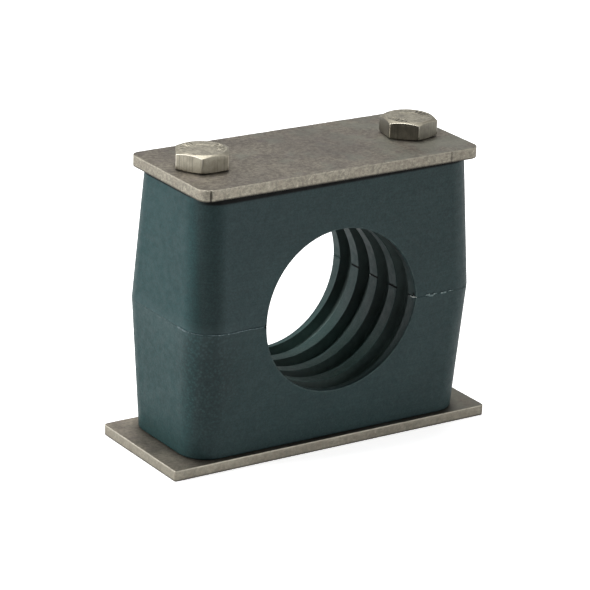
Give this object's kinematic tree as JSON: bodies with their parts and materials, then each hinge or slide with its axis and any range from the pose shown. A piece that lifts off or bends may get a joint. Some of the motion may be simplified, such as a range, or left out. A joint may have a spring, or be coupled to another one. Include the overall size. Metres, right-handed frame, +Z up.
{
  "type": "anti-vibration tube clamp",
  "caption": "Two ribbed plastic halves between a steel weld plate and a cover plate, drawn together by hexagon bolts to hold a hydraulic tube.",
  "frame": {"origin": "centre of the weld plate's underside", "axes": "+X along the plates from the left bolt to the right bolt, +Y along the held tube, +Z up from the weld plate to the cover plate"},
  "size_m": [0.08, 0.032, 0.0669],
  "materials": {
    "plate_steel": "dull rolled surface with lighter sheared edges",
    "nut_steel": "plain turned",
    "bolt_steel": "bright cold-formed head with tool marks",
    "body_plastic": "fine matte moulded grain, deep blue-green"
  },
  "bodies": {
    "base": {"weld_plate": "plate_steel", "weld_nut_left": "nut_steel", "weld_nut_right": "nut_steel", "clamp_half_lower": "body_plastic"},
    "top": {"clamp_half_upper": "body_plastic", "cover_plate": "plate_steel"},
    "bolt_left": {"bolt_left": "bolt_steel"},
    "bolt_right": {"bolt_right": "bolt_steel"}
  },
  "joints": [
    {"name": "upper_half_lift", "type": "slide", "parent": "base", "child": "top", "axis": [0, 0, 1], "range_m": [0, 0.045]},
    {"name": "bolt_left_draw", "type": "slide", "parent": "top", "child": "bolt_left", "axis": [0, 0, 1], "range_m": [0, 0.062]},
    {"name": "bolt_right_draw", "type": "slide", "parent": "top", "child": "bolt_right", "axis": [0, 0, 1], "range_m": [0, 0.062]}
  ]
}
